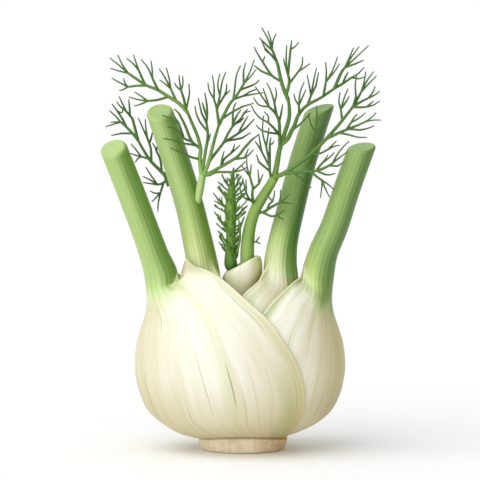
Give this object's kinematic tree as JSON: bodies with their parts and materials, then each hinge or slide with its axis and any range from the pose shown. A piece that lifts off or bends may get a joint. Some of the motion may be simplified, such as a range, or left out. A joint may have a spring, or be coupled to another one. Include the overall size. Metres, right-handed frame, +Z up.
{
  "type": "fennel bulb",
  "caption": "Fresh fennel bulb with nested pale leaf bases, cut green stalks and feathery fronds, standing on its trimmed root.",
  "frame": {"origin": "centre of the flat trimmed root face that the bulb stands on", "axes": "+Z up along the bulb, +X to the right as seen from the front, +Y to the back"},
  "size_m": [0.1381, 0.0797, 0.2109],
  "materials": {
    "root": "dry cut root, tan with brown edges",
    "leaf": "waxy cream sheath turning to green stalk, fine lengthwise veins",
    "heart": "waxy pale cream",
    "frond": "soft dark green threads",
    "young_frond": "soft bright green threads"
  },
  "bodies": {
    "root": {"root_plate": "root", "leaf_outer_left": "leaf", "leaf_outer_right": "leaf", "leaf_inner_left": "leaf", "leaf_inner_right": "leaf", "heart_sheath": "heart", "frond_left": "frond", "frond_left_back": "frond", "frond_right": "frond", "frond_young": "young_frond"}
  },
  "joints": []
}
